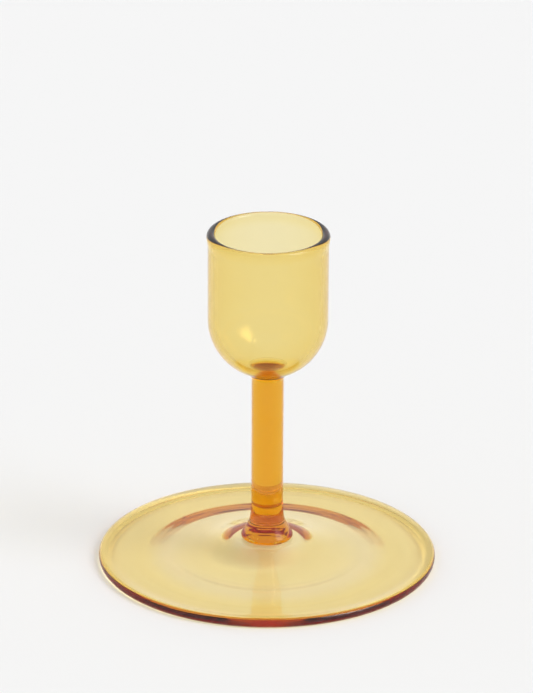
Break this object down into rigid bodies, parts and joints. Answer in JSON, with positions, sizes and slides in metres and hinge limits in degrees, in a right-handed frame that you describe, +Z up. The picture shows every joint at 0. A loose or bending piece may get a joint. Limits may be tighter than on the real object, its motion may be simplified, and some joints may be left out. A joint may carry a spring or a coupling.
{
  "type": "candlestick",
  "caption": "Amber glass candlestick: round-bottomed cup for a taper candle on a slim solid stem with a flared foot, welded to a shallow domed disc base with a level brim.",
  "frame": {"origin": "on the table, at the centre of the ring that the base's brim rests on", "axes": "+Z up the common axis of base, stem and cup, towards the open mouth; X and Y are any two directions across, as the object is round"},
  "size_m": [0.074, 0.074, 0.0768],
  "materials": {
    "cup_glass": "clear amber borosilicate, fire polished",
    "stem_glass": "clear amber borosilicate rod, fire polished",
    "base_glass": "clear amber borosilicate, fire polished"
  },
  "bodies": {
    "root": {"candle_cup": "cup_glass", "stem": "stem_glass", "base_disc": "base_glass"}
  },
  "joints": []
}
